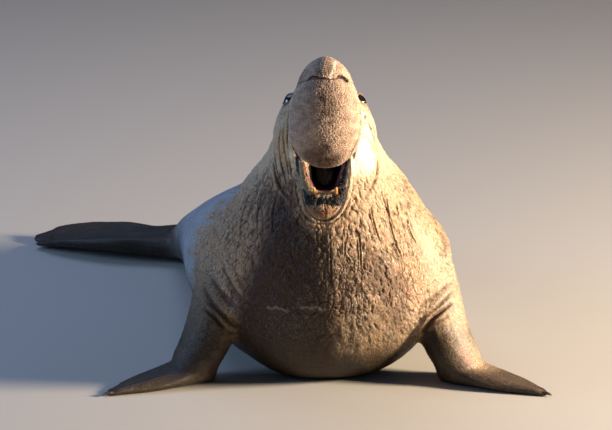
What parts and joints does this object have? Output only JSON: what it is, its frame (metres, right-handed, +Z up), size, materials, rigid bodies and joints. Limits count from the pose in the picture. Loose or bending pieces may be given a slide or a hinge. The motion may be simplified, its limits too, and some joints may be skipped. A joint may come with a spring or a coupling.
{
  "type": "elephant seal",
  "caption": "Life-size bull elephant seal reared up on its fore flippers, head thrown back and mouth open in a call.",
  "frame": {"origin": "middle of the animal's bounding box, on the floor it rests on", "axes": "+Z up, -Y the way the chest and open mouth face, +X the animal's left"},
  "size_m": [2.497, 2.9656, 1.5863],
  "materials": {
    "hide": "short flat fur over creased hide",
    "flipper": "dark hide with short fur and worn claws",
    "nose": "bare wrinkled hide",
    "eye": "wet and glossy",
    "tongue": "wet"
  },
  "bodies": {
    "root": {"head": "hide", "proboscis": "nose", "lower_jaw": "hide", "tongue": "tongue", "eye_left": "eye", "eye_right": "eye", "neck": "hide", "chest": "hide", "trunk": "hide", "rump": "hide", "tail": "flipper", "fore_flipper_left": "flipper", "fore_flipper_right": "flipper", "hind_flipper_left": "flipper", "hind_flipper_right": "flipper"}
  },
  "joints": []
}
